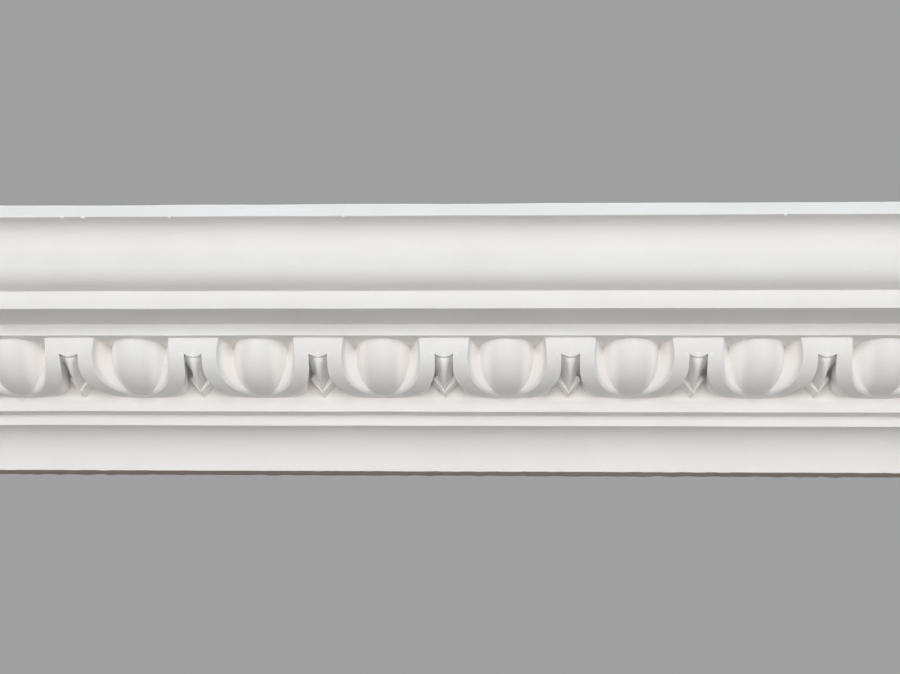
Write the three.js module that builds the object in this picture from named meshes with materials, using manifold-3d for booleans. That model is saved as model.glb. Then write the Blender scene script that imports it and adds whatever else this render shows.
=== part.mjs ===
// A section of plaster cornice with an egg-and-dart enrichment, cast in one piece.
//
// Millimetres. +X runs along the wall, -Y faces the room and +Z points up to the ceiling.
// The origin is the middle of the flat strip that is bedded on the wall.
// Inside this file the shapes are worked out from the enrichment's own corner, where the
// vertical face of the keystones meets the roof above the eggs: "back" is the distance
// behind that face, and "up" is the height above that roof.
import * as THREE from "three";
import { mergeVertices } from "three/addons/utils/BufferGeometryUtils.js";
import Module from "manifold-3d";

const wasm = await Module();
wasm.setup();

// Length: whole repeats of the enrichment, sawn square through a dart at each end.
const repeatPitch = 64;
const repeatCount = 8;
const length = repeatPitch * repeatCount;
const halfPitch = repeatPitch / 2;

// Heights and depths of the run mouldings, from the ceiling down.
const ceilingFilletHeight = 6.4;
const cymaDepth = 27;
const cymaHollowHeight = 14.5;
const cymaRollHeight = 13;
const cymaFullness = 2.4;
const coronaHeight = 9.5;
const soffitDepth = 21.6;
const bedFilletHeight = 6.1;
const quirkDepth = 3;
const fasciaHeight = 7.5;
const stepDepth = 7.2;
const lowerFilletHeight = 5.6;
const coveDepth = 20;
const coveHeight = 19.9;
const footDepth = 10.4;

// The flat strips that bed on the wall and on the ceiling. A slope joins them behind.
const wallStripHeight = 34;
const ceilingStripDepth = 34.6;

// The egg-and-dart's outer face: a rounded quarter that falls back from the roof line, with
// a narrow landing between its foot and the fascia.
const ovoloDepth = 30.5;
const ovoloHeight = 22;
const ovoloFullness = 2.25;
const landingDepth = 2.8;
const ovoloChord = (ovoloDepth + ovoloHeight) / Math.SQRT2;

// Each shell is a U seen square to the ovolo. Its two edges are half ellipses: widths are
// shares of the repeat, and places along the ovolo's chord are shares of that chord.
const innerEdge = {
  halfWidth: 0.3125 * repeatPitch,
  roofHalfWidth: 0.3 * repeatPitch,
  centre: 0.242 * ovoloChord,
  reach: 0.733 * ovoloChord,
};
const outerEdge = {
  halfWidth: 0.428 * repeatPitch,
  centre: 0.361 * ovoloChord,
  reach: 0.7 * ovoloChord,
};

// Behind its outer edge each shell draws in towards its egg by this share of the depth, so
// it hangs free of the fascia with a shadow under it.
const undercut = 0.16;

// The notch under each keystone, where the dart's shaft comes out. The inner edge passes
// the notch's middle and its corner at two chords of its own.
const notchHalfWidth = halfPitch - outerEdge.halfWidth;
const notchCornerChord = 0.168 * ovoloChord;
const notchMiddleChord = 0.229 * ovoloChord;
const innerAtNotchMiddle = 0.038 * ovoloChord;
const innerAtNotchCorner = 0.145 * ovoloChord;

// The egg: a swelling body under the roof, met by the hollow of its shell at a crease.
const egg = {
  halfWidth: 0.245 * repeatPitch,
  depth: 0.862 * ovoloDepth,
  height: ovoloHeight,
  middleBack: 0.902 * ovoloDepth,
  across: 2.4,
  round: 2.2,
};
const crease = { halfWidth: 0.223 * repeatPitch, across: 2.2, down: 3.2 };
const hollow = {
  pushAtRoof: 0.175 * ovoloChord,
  pushAtTip: 0.016 * ovoloChord,
  deepest: 0.6,
};

// The dart: a shaft with a rounded ridge on a flat arrowhead that stands off the fascia.
// The arrowhead is widest at its shoulder and draws in above it to a waist. The shaft fills
// the notch, narrows from there on, and its flanks reach the arrowhead at the waist.
const arrowThickness = 9.2;
const fasciaBack = ovoloDepth + landingDepth;
const arrow = {
  faceBack: fasciaBack - arrowThickness,
  tipDrop: 0.995 * ovoloHeight,
  shoulderDrop: 0.65 * ovoloHeight,
  waistDrop: 0.54 * ovoloHeight,
  halfWidth: 0.097 * repeatPitch,
  waistHalfWidth: 0.066 * repeatPitch,
};
const shaft = {
  topDrop: 0.3 * ovoloHeight,
  ridgeDrop: 0.4 * ovoloHeight,
  tipDrop: 0.964 * ovoloHeight,
  ridgeBack: 0.108 * ovoloDepth,
  creviceBack: 0.18 * ovoloDepth,
  halfWidth: 0.0735 * repeatPitch,
  narrowing: 1.2,
  bulge: 2.3,
  roundness: 3,
};

// How finely the curves are cut into facets.
const curveSteps = 10;
const envelopeSteps = 60;
const seamSteps = 2;
const notchSteps = 3;
const edgeSteps = 12;
const eggRings = [0.3, 0.58, 0.8, 0.93, 1];
const hollowSteps = 3;
const bandSteps = 3;
const shaftRows = 2;
const tipRows = 5;
const shaftSides = 4;

// Solids that are joined run this far into each other, points nearer than "same" are one
// point, and a blunt tip keeps this share of its width.
const bury = 1.5;
const same = 1e-4;
const bluntTip = 0.01;

const fasciaDrop = ovoloHeight + fasciaHeight;
const wallBack = fasciaBack + stepDepth + coveDepth + footDepth;
const coronaFront = -quirkDepth - soffitDepth;
const roomFront = coronaFront - cymaDepth;
const coronaTop = bedFilletHeight + coronaHeight;
const cymaMiddle = coronaTop + cymaRollHeight;
const cymaTop = cymaMiddle + cymaHollowHeight;
const ceilingUp = cymaTop + ceilingFilletHeight;
const coveTop = -fasciaDrop - lowerFilletHeight;
const footUp = coveTop - coveHeight;
const originUp = footUp + wallStripHeight / 2;
const reliefBack = fasciaBack + bury;

// A point from its distance along the wall, its depth behind the keystones' face and its
// height above the roof line, in the part's own frame.
function place(along, back, up) {
  return new THREE.Vector3(along, back - wallBack, up - originUp);
}

function mix(a, b, share) {
  return a + (b - a) * share;
}

function steps(count) {
  return Array.from({ length: count + 1 }, (_, i) => i / count);
}

// A quarter of an ellipse between two corners, leaving the first level and ending upright.
// A fullness over 2 fills the corner more than an ellipse does.
function quarterLevelFirst(from, to, fullness = 2) {
  const power = 2 / fullness;
  return steps(curveSteps).map((share) => {
    const turn = (share * Math.PI) / 2;
    return [
      mix(from[0], to[0], Math.sin(turn) ** power),
      mix(to[1], from[1], Math.cos(turn) ** power),
    ];
  });
}

// The same quarter, leaving the first corner upright and ending level.
function quarterUprightFirst(from, to, fullness) {
  return quarterLevelFirst(to, from, fullness).reverse();
}

// The section of the run mouldings, as [back, up] points. The egg-and-dart's strip is left
// as a plain recess down to the fascia's own face.
function runProfile() {
  const cymaNeck = [roomFront + cymaDepth / 2, cymaMiddle];
  return [
    [roomFront + ceilingStripDepth, ceilingUp],
    [roomFront, ceilingUp],
    ...quarterLevelFirst([roomFront, cymaTop], cymaNeck, cymaFullness),
    ...quarterUprightFirst(cymaNeck, [coronaFront, coronaTop], cymaFullness).slice(1),
    [coronaFront, bedFilletHeight],
    [-quirkDepth, bedFilletHeight],
    [-quirkDepth, 0],
    [fasciaBack, 0],
    [fasciaBack, -fasciaDrop],
    [fasciaBack + stepDepth, -fasciaDrop],
    ...quarterLevelFirst([fasciaBack + stepDepth, coveTop], [wallBack - footDepth, footUp]),
    [wallBack, footUp],
    [wallBack, footUp + wallStripHeight],
  ];
}

// The run mouldings as a solid: the section carried along the wall and cut square.
function runSolid() {
  const outline = new THREE.Shape(runProfile().map(([back, up]) => new THREE.Vector2(back, up)));
  const bar = new THREE.ExtrudeGeometry(outline, { depth: length, bevelEnabled: false });
  const axes = new THREE.Matrix4().makeBasis(
    new THREE.Vector3(0, 1, 0),
    new THREE.Vector3(0, 0, 1),
    new THREE.Vector3(1, 0, 0),
  );
  bar.applyMatrix4(axes);
  bar.translate(-length / 2, -wallBack, -originUp);
  return solidFrom(bar);
}

// A closed mesh as a solid that can be joined and cut.
function solidFrom(geometry) {
  const bare = new THREE.BufferGeometry();
  bare.setAttribute("position", geometry.getAttribute("position"));
  if (geometry.index) bare.setIndex(geometry.index);
  const merged = mergeVertices(bare, same);
  return new wasm.Manifold(
    new wasm.Mesh({
      numProp: 3,
      vertProperties: merged.attributes.position.array,
      triVerts: new Uint32Array(merged.index.array),
    }),
  );
}

// Triangles collected corner by corner.
class Facets {
  corners = [];

  triangle(a, b, c) {
    this.corners.push(a, b, c);
  }

  // Two triangles between the matching steps of two rows of points.
  strip(first, second) {
    for (let i = 0; i + 1 < first.length; i++) {
      this.triangle(first[i], first[i + 1], second[i + 1]);
      this.triangle(first[i], second[i + 1], second[i]);
    }
  }

  // A flat face inside a loop of points, seen along the wall axis that "flat" leaves out.
  face(loop, flat, turned) {
    const outline = loop.map((p) => new THREE.Vector2(...flat(p)));
    for (const [a, b, c] of THREE.ShapeUtils.triangulateShape(outline, [])) {
      if (turned) this.triangle(loop[a], loop[c], loop[b]);
      else this.triangle(loop[a], loop[b], loop[c]);
    }
  }

  solid() {
    const whole = this.corners.filter((_, i) => {
      const [a, b, c] = this.corners.slice(i - (i % 3), i - (i % 3) + 3);
      return a.distanceTo(b) > same && b.distanceTo(c) > same && c.distanceTo(a) > same;
    });
    return solidFrom(new THREE.BufferGeometry().setFromPoints(whole));
  }
}

// The ovolo's face as [back, up] against the distance along its chord. It falls as a
// rounded quarter and then runs level to the fascia.
const envelope = steps(envelopeSteps).map((share) => {
  const turn = (share * Math.PI) / 2;
  const power = 2 / ovoloFullness;
  return [ovoloDepth * (1 - Math.cos(turn) ** power), -ovoloHeight * Math.sin(turn) ** power];
});
envelope.push([reliefBack, -ovoloHeight]);
const chordOf = ([back, up]) => (back - up) / Math.SQRT2;

function onOvolo(chord) {
  const next = Math.max(1, envelope.findIndex((point) => chordOf(point) >= chord));
  const [before, after] = [envelope[next - 1], envelope[next]];
  const share = (chord - chordOf(before)) / (chordOf(after) - chordOf(before));
  return [mix(before[0], after[0], share), mix(before[1], after[1], share)];
}

// The direction straight into the block from the ovolo's face.
function intoOvolo(chord) {
  const nudge = ovoloChord / envelopeSteps;
  const [a, b] = [onOvolo(Math.max(0, chord - nudge)), onOvolo(chord + nudge)];
  return new THREE.Vector2(a[1] - b[1], b[0] - a[0]).normalize();
}

// Where the chord meets the fascia, which ends the shell's outer edge.
const chordAtFascia = chordOf([fasciaBack + bury / 2, -ovoloHeight]);

// The shell's inner edge at a chord, as a distance from the egg's middle.
function innerHalfWidth(chord) {
  const { halfWidth, roofHalfWidth, centre, reach } = innerEdge;
  if (chord < centre) return mix(roofHalfWidth, halfWidth, Math.sin((chord / centre) * (Math.PI / 2)));
  return halfWidth * Math.sqrt(Math.max(0, 1 - ((chord - centre) / reach) ** 2));
}

// The half of one repeat from the roof line to the egg's tip, column by column. Each column
// holds the shell's inner and outer edge as [across, chord], its share of the way down, and
// how much its wall draws in across and up for each millimetre of depth.
function columns() {
  const list = [];
  const down = (share, inner, outer, drawn) => list.push({ share, inner, outer, drawn });
  const innerTip = innerEdge.centre + innerEdge.reach;
  for (const share of steps(seamSteps)) {
    const chord = share * innerAtNotchMiddle;
    const outer = [halfPitch, share * notchMiddleChord];
    down(chord / innerTip, [innerHalfWidth(chord), chord], outer, [0, 0]);
  }
  for (const share of steps(notchSteps).slice(1)) {
    const chord = mix(innerAtNotchMiddle, innerAtNotchCorner, share);
    const outerChord = mix(notchMiddleChord, notchCornerChord, share ** 2);
    down(
      chord / innerTip,
      [innerHalfWidth(chord), chord],
      [halfPitch - notchHalfWidth * share, outerChord],
      [-undercut * share, 0],
    );
  }
  // From the notch the inner edge turns by an even angle round its ellipse, and so does the
  // outer edge, until it runs into the fascia and follows it to the middle.
  const startTurn = Math.acos((innerAtNotchCorner - innerEdge.centre) / innerEdge.reach);
  const outerStart = Math.acos((notchCornerChord - outerEdge.centre) / outerEdge.reach);
  for (const share of steps(edgeSteps).slice(1)) {
    const turn = mix(startTurn, 0, share);
    const chord = innerEdge.centre + innerEdge.reach * Math.cos(turn);
    const outerTurn = mix(outerStart, 0, share);
    const outerChord = outerEdge.centre + outerEdge.reach * Math.cos(outerTurn);
    const outerAcross = outerEdge.halfWidth * Math.min(1, Math.sin(Math.min(outerTurn, Math.PI / 2)));
    const across = share === 1 ? 0 : innerHalfWidth(chord);
    down(
      chord / innerTip,
      [across, chord],
      [outerAcross, Math.min(outerChord, chordAtFascia)],
      [-undercut * Math.sin(outerTurn), undercut * Math.max(0, Math.cos(outerTurn))],
    );
  }
  return list;
}

// A point of the egg from its distance across and its turn down from the roof (0) to the
// underside (1), as [across, back, up].
function onEgg(across, turnShare) {
  const turn = (turnShare * Math.PI) / 2;
  const swell = (1 - Math.min(1, across / egg.halfWidth) ** egg.across) ** (1 / egg.round);
  const power = 2 / egg.round;
  return [
    across,
    egg.middleBack - egg.depth * swell * Math.cos(turn) ** power,
    -egg.height * swell * Math.sin(turn) ** power,
  ];
}

// Where the egg meets its hollow, as [across, turn], at a share of the way down the shell.
function onCrease(share) {
  const turn = (share * Math.PI) / 2;
  return [
    crease.halfWidth * Math.cos(turn) ** (2 / crease.across),
    Math.sin(turn) ** (2 / crease.down),
  ];
}

// One column of one shell from the egg's top out to the shell's outer edge, as
// [across, back, up] points on the positive side. The last point lies behind the edge.
function columnPoints({ share, inner, outer, drawn }) {
  const [creaseAcross, creaseTurn] = onCrease(share);
  const points = [0, ...eggRings].map((ring) => onEgg(creaseAcross * ring, creaseTurn * ring));
  const meet = new THREE.Vector3(...points.at(-1));
  const lip = new THREE.Vector3(inner[0], ...onOvolo(inner[1]));
  const push = mix(hollow.pushAtRoof, hollow.pushAtTip, share);
  const inward = intoOvolo(inner[1]);
  const pull = meet.clone().lerp(lip, hollow.deepest);
  pull.add(new THREE.Vector3(0, inward.x * push, inward.y * push));
  if (share === 0) pull.z = 0;
  const sweep = new THREE.QuadraticBezierCurve3(meet, pull, lip);
  for (const part of steps(hollowSteps).slice(1)) points.push(sweep.getPoint(part).toArray());
  for (const part of steps(bandSteps).slice(1)) {
    const chord = mix(inner[1], outer[1], part);
    points.push([mix(inner[0], outer[0], part), ...onOvolo(chord)]);
  }
  const [across, back, up] = points.at(-1);
  const depth = reliefBack - back;
  points.push([across + drawn[0] * depth, reliefBack, up + drawn[1] * depth]);
  return points;
}

// The strip of eggs, shells and keystones as one closed solid. It stands in the recess of
// the run mouldings and runs a little way into them at the roof and at the fascia.
function enrichmentSolid() {
  const facets = new Facets();
  const half = columns().map(columnPoints);
  const firstWall = seamSteps;
  const endFace = (seam, turned) => {
    const edge = seam.map((column) => column.at(-2));
    const top = edge[0].clone().setZ(bury - originUp);
    const loop = [top.clone().setY(reliefBack - wallBack), top, ...edge, seam.at(-1).at(-1)];
    facets.face(loop, (p) => [p.y, p.z], turned);
  };
  for (let repeat = 0; repeat < repeatCount; repeat++) {
    const middle = (repeat + 0.5 - repeatCount / 2) * repeatPitch;
    const at = (side) => ([across, back, up]) => place(middle + side * across, back, up);
    const sides = [
      ...half.map((column) => column.map(at(-1))),
      ...half.slice(0, -1).reverse().map((column) => column.map(at(1))),
    ];
    const fronts = sides.map((column) => column.slice(0, -1));
    const walls = sides.slice(firstWall, sides.length - firstWall).map((column) => column.slice(-2));
    for (let i = 0; i + 1 < fronts.length; i++) facets.strip(fronts[i], fronts[i + 1]);
    for (let i = 0; i + 1 < walls.length; i++) facets.strip(walls[i], walls[i + 1]);
    const roofLine = [...fronts[0].slice().reverse(), ...fronts.at(-1).slice(1)];
    const raised = roofLine.map((p) => p.clone().setZ(bury - originUp));
    const rear = raised.map((p) => p.clone().setY(reliefBack - wallBack));
    facets.strip(roofLine, raised);
    facets.strip(raised, rear);
    facets.face([...rear, ...walls.map((pair) => pair[1]).reverse()], (p) => [p.x, p.z], true);
    if (repeat === 0) endFace(sides.slice(0, firstWall + 1), true);
    if (repeat === repeatCount - 1) endFace(sides.slice(-firstWall - 1).reverse(), false);
  }
  return facets.solid();
}

// The share of the way from one value to another, held between 0 and 1.
function between(value, from, to) {
  return Math.min(1, Math.max(0, (value - from) / (to - from)));
}

// The depth of the dart's face at a distance across and a drop below the roof line: a
// finger with a blunt ridge that leans back ever more, and steep flanks down to its foot.
function dartFace(across, drop) {
  const fall = between(drop, shaft.ridgeDrop, shaft.tipDrop);
  const ridge = mix(shaft.ridgeBack, arrow.faceBack, fall ** shaft.bulge);
  const sunk = between(drop, shaft.ridgeDrop, arrow.waistDrop);
  const foot = mix(shaft.creviceBack, arrow.faceBack, sunk);
  const width = shaft.halfWidth * Math.min(1, Math.max(bluntTip, (1 - fall) * shaft.narrowing));
  const flank = Math.min(1, Math.abs(across) / width);
  return mix(ridge, Math.max(ridge, foot), flank ** shaft.roundness);
}

// Half the width of the whole dart at a drop: level down to the ridge's start, in to the
// waist, out to the shoulder and then straight down to the tip.
function dartHalfWidth(drop) {
  const { halfWidth, waistHalfWidth, waistDrop, shoulderDrop, tipDrop } = arrow;
  if (drop < waistDrop) return mix(halfWidth, waistHalfWidth, between(drop, shaft.ridgeDrop, waistDrop));
  const above = mix(waistHalfWidth, halfWidth, between(drop, waistDrop, shoulderDrop));
  return above * Math.max(bluntTip, 1 - between(drop, shoulderDrop, tipDrop));
}

// One dart as a closed solid: level slices from under the keystone down to the tip.
function dartSolid(middle) {
  const facets = new Facets();
  const drops = [
    shaft.topDrop,
    ...steps(shaftRows).map((share) => mix(shaft.ridgeDrop, arrow.waistDrop, share)),
    ...steps(tipRows).map((share) => mix(arrow.shoulderDrop, arrow.tipDrop, share)),
  ];
  const rows = drops.map((drop) => {
    const width = dartHalfWidth(drop);
    const reach = steps(2 * shaftSides).map((s) => (2 * s - 1) * width);
    const front = reach.map((across) => place(middle + across, dartFace(across, drop), -drop));
    const rear = [width, -width].map((across) => place(middle + across, reliefBack, -drop));
    return [...front, ...rear];
  });
  for (let i = 0; i + 1 < rows.length; i++) {
    facets.strip([...rows[i + 1], rows[i + 1][0]], [...rows[i], rows[i][0]]);
  }
  facets.face(rows[0], (p) => [p.x, p.y], false);
  facets.face(rows.at(-1), (p) => [p.x, p.y], true);
  return facets.solid();
}

// A plain block between the two sawn ends, used to cut the end darts in half. It is far
// higher and deeper than the section on either side of the origin.
function betweenEnds() {
  const wide = 4 * wallBack;
  return solidFrom(new THREE.BoxGeometry(length, wide, wide));
}

function corniceGeometry() {
  const darts = steps(repeatCount).map((share) => dartSolid(mix(-length / 2, length / 2, share)));
  const whole = [enrichmentSolid(), ...darts]
    .reduce((body, piece) => body.add(piece), runSolid())
    .intersect(betweenEnds());
  const { vertProperties, triVerts } = whole.getMesh();
  const geometry = new THREE.BufferGeometry();
  geometry.setAttribute("position", new THREE.BufferAttribute(vertProperties, 3));
  geometry.setIndex(new THREE.BufferAttribute(triVerts, 1));
  geometry.computeVertexNormals();
  return geometry;
}

const castPlaster = new THREE.MeshStandardMaterial({ color: 0xebe7e3, roughness: 0.85, metalness: 0 });
const cornice = new THREE.Mesh(corniceGeometry(), castPlaster);
cornice.name = "cornice_moulding";

const part = new THREE.Group();
part.add(cornice);

export default part;
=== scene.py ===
# %% [markdown]
# # A length of plaster cornice with an egg-and-dart band
#
# A cornice covers the corner between a wall and a ceiling. This one is cast plaster: one
# piece, with straight run mouldings above and below a band of eggs, shells and darts. The
# scene loads the measured model first, so every size and place below can be checked against
# it, and dresses it with one finely modelled surface.

# %% Load the measured model
import math

import bmesh
import bpy
import numpy as np
from mathutils import Matrix, Vector


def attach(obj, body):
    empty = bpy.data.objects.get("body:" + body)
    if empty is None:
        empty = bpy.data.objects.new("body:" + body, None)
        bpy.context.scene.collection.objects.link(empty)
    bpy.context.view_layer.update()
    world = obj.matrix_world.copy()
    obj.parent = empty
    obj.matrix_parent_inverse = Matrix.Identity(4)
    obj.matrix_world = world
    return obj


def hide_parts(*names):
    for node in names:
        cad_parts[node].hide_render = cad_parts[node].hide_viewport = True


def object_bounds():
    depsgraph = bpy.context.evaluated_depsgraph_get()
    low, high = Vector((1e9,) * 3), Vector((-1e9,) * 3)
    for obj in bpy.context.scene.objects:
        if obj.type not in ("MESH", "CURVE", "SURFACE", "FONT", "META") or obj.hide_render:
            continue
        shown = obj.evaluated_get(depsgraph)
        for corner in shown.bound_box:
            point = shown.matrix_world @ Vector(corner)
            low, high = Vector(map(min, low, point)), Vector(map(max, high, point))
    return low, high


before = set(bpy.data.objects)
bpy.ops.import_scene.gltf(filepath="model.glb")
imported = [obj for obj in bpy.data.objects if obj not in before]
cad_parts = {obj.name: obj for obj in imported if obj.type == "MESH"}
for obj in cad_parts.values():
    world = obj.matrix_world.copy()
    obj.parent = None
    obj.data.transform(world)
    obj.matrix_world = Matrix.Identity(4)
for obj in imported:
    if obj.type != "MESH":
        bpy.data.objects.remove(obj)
cad_low, cad_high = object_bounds()
print("measured model, mm:", [round(1000 * (b - a), 1) for a, b in zip(cad_low, cad_high)])

# %% [markdown]
# ## The driving sizes
#
# All shapes are worked out in millimetres and turned into metres when they become a mesh.
# A point of the section is written as "back" and "up": back is the distance behind the
# upright face of the keystones, the blocks between the eggs, and up is the height above the
# flat roof that the eggs hang under. The length comes from the loaded model, and the rest are
# the sizes of the mouldings themselves, from the ceiling down, which add up to the depth.

# %% Sizes of the section
MM = 0.001
LENGTH = (cad_high[0] - cad_low[0]) / MM
REPEATS = 8
PITCH = LENGTH / REPEATS
HALF_PITCH = PITCH / 2

CEILING_FILLET_HEIGHT = 6.4
CYMA_DEPTH = 27
CYMA_HOLLOW_HEIGHT = 14.5
CYMA_ROLL_HEIGHT = 13
CYMA_FULLNESS = 2.4
CORONA_HEIGHT = 9.5
SOFFIT_DEPTH = 21.6
BED_FILLET_HEIGHT = 6.1
QUIRK_DEPTH = 3
FASCIA_HEIGHT = 7.5
STEP_DEPTH = 7.2
LOWER_FILLET_HEIGHT = 5.6
COVE_DEPTH = 20
COVE_HEIGHT = 19.9
FOOT_DEPTH = 10.4
WALL_STRIP_HEIGHT = 34
CEILING_STRIP_DEPTH = 34.6

OVOLO_DEPTH = 30.5
OVOLO_HEIGHT = 22
OVOLO_FULLNESS = 2.25
LANDING_DEPTH = 2.8
OVOLO_CHORD = (OVOLO_DEPTH + OVOLO_HEIGHT) / math.sqrt(2)

FASCIA_BACK = OVOLO_DEPTH + LANDING_DEPTH
FASCIA_DROP = OVOLO_HEIGHT + FASCIA_HEIGHT
WALL_BACK = FASCIA_BACK + STEP_DEPTH + COVE_DEPTH + FOOT_DEPTH
CORONA_FRONT = -QUIRK_DEPTH - SOFFIT_DEPTH
ROOM_FRONT = CORONA_FRONT - CYMA_DEPTH
CORONA_TOP = BED_FILLET_HEIGHT + CORONA_HEIGHT
CYMA_MIDDLE = CORONA_TOP + CYMA_ROLL_HEIGHT
CYMA_TOP = CYMA_MIDDLE + CYMA_HOLLOW_HEIGHT
CEILING_UP = CYMA_TOP + CEILING_FILLET_HEIGHT
COVE_TOP = -FASCIA_DROP - LOWER_FILLET_HEIGHT
FOOT_UP = COVE_TOP - COVE_HEIGHT
ORIGIN_UP = FOOT_UP + WALL_STRIP_HEIGHT / 2

section = [WALL_BACK - ROOM_FRONT, CEILING_UP - FOOT_UP]
print("section worked out here, mm:", [round(size, 1) for size in section])

# %% [markdown]
# ## The camera
#
# The photograph was taken from a little below the cornice, looking up at it by 20 degrees, as
# one looks at a moulding held up on a wall. The place and the turn of the camera were solved
# from the repeats of the band and from the rows where the mouldings change. They are kept as
# one point and three angles, and the lens follows from the angle of view.

# %% Camera at the photograph's viewing angle
CAMERA_PLACE = (0.02315, -0.61997, -0.16171)
CAMERA_RISE = math.radians(19.994)
CAMERA_LEFT = math.radians(2.088)
CAMERA_ROLL = math.radians(0.692)
CAMERA_LENS = 46.18
SENSOR_WIDTH = 36


def add_camera():
    """Turned about Z to the left, about X up from the ground and about its own view axis."""
    data = bpy.data.cameras.new("photo_view")
    data.lens = CAMERA_LENS
    data.sensor_width = SENSOR_WIDTH
    camera = bpy.data.objects.new("photo_view", data)
    left = Matrix.Rotation(CAMERA_LEFT, 3, "Z")
    rise = Matrix.Rotation(math.pi / 2 + CAMERA_RISE, 3, "X")
    roll = Matrix.Rotation(CAMERA_ROLL, 3, "Z")
    camera.location = CAMERA_PLACE
    camera.rotation_euler = (left @ rise @ roll).to_euler()
    bpy.context.collection.objects.link(camera)
    bpy.context.scene.camera = camera
    return camera


camera = add_camera()
print("camera looks up by", round(math.degrees(CAMERA_RISE), 1), "degrees")

# %% [markdown]
# ## Light and ground
#
# White plaster shows its form by soft shade alone. The strongest light on the moulded face is
# a wide panel straight in front, so the undersides stay darker than the upright faces. A
# weaker panel stands at each side, a cool one hangs overhead and a faint warm one low in
# front. A large one high behind lights the back and the floor. The ground is a plain pale
# floor far below, because the part hangs in the air where a wall and a ceiling would hold it.

# %% Soft light, surroundings and floor
FLOOR_DROP = 1.15
FLOOR_SIZE = 14.0
FLOOR_COLOUR = (0.7, 0.7, 0.69, 1)
FLOOR_ROUGHNESS = 0.9
SKY_GREY = 0.352
ROUND_LIGHT = (1.0, 0.97, 0.94)
ROUND_STRENGTH = 0.05
PANEL_TARGET = (0, -0.06, 0.03)
PANEL_SIZE = 0.9
ROOM_PANEL_SIZE = 3.0
PANELS = (
    ("front_panel", (0, -1.7, 0.1), PANEL_SIZE, 16, (0.96, 0.985, 1.0)),
    ("overhead_panel", (0, -0.75, 1.4), PANEL_SIZE, 4.8, (0.6, 0.85, 1.0)),
    ("right_panel", (1.4, -1.1, 0), PANEL_SIZE, 7.8, (1.0, 0.955, 0.93)),
    ("left_panel", (-1.4, -1.1, 0), PANEL_SIZE, 6.8, (1.0, 0.965, 0.95)),
    ("low_panel", (0, -0.9, -0.8), PANEL_SIZE, 0.3, (1.0, 0.6, 0.4)),
    ("room_panel", (0, 1.4, 3.2), ROOM_PANEL_SIZE, 60, (1.0, 0.97, 0.94)),
)


def add_panel(name, place, size, power, colour):
    """A square soft light that is turned towards the cornice."""
    data = bpy.data.lights.new(name, "AREA")
    data.shape = "SQUARE"
    data.size = size
    data.energy = power
    data.color = colour
    panel = bpy.data.objects.new(name, data)
    panel.location = place
    towards = Vector(PANEL_TARGET) - Vector(place)
    panel.rotation_euler = towards.to_track_quat("-Z", "Y").to_euler()
    bpy.context.collection.objects.link(panel)
    return panel


def add_surroundings():
    """The camera sees a plain grey, and the surfaces are lit by a warmer, even light."""
    world = bpy.data.worlds.new("studio_surroundings")
    world.use_nodes = True
    tree = world.node_tree
    tree.nodes.clear()
    seen = tree.nodes.new("ShaderNodeBackground")
    seen.inputs["Color"].default_value = (SKY_GREY, SKY_GREY, SKY_GREY, 1)
    light = tree.nodes.new("ShaderNodeBackground")
    light.inputs["Color"].default_value = (*ROUND_LIGHT, 1)
    light.inputs["Strength"].default_value = ROUND_STRENGTH
    path = tree.nodes.new("ShaderNodeLightPath")
    both = tree.nodes.new("ShaderNodeMixShader")
    output = tree.nodes.new("ShaderNodeOutputWorld")
    tree.links.new(path.outputs["Is Camera Ray"], both.inputs["Fac"])
    tree.links.new(light.outputs["Background"], both.inputs[1])
    tree.links.new(seen.outputs["Background"], both.inputs[2])
    tree.links.new(both.outputs["Shader"], output.inputs["Surface"])
    bpy.context.scene.world = world


def add_floor():
    half = FLOOR_SIZE / 2
    corners = [(-half, -half), (half, -half), (half, half), (-half, half)]
    mesh = bpy.data.meshes.new("floor")
    mesh.from_pydata([(x, y, -FLOOR_DROP) for x, y in corners], [], [(0, 1, 2, 3)])
    floor = bpy.data.objects.new("floor", mesh)
    material = bpy.data.materials.new("floor_pale")
    material.use_nodes = True
    shader = material.node_tree.nodes["Principled BSDF"]
    shader.inputs["Base Color"].default_value = FLOOR_COLOUR
    shader.inputs["Roughness"].default_value = FLOOR_ROUGHNESS
    mesh.materials.append(material)
    bpy.context.collection.objects.link(floor)
    return floor


add_surroundings()
for panel in PANELS:
    add_panel(*panel)
add_floor()
bpy.context.scene.view_settings.view_transform = "Standard"

# %% [markdown]
# ## Surfaces from arrays
#
# Every surface here is a grid of points: one direction runs along the moulding or round a
# shell, the other across it. A modelling tool could sweep or sculpt the same shapes, but a
# grid worked out from a formula keeps each edge where the section says. These helpers join
# the grids, weld points that fall together and hand the result to Blender.

# %% Helpers for grids of points
MOST_OF_A_SIDE = 0.7


def mix(first, last, share):
    return first + (last - first) * share


def grid_quads(rows, columns, start=0):
    """The four corners of every cell of a grid of points that is stored row by row."""
    corner = start + np.arange(rows - 1)[:, None] * columns + np.arange(columns - 1)
    cells = np.stack([corner, corner + 1, corner + columns + 1, corner + columns], axis=-1)
    return cells.reshape(-1, 4)


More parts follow.
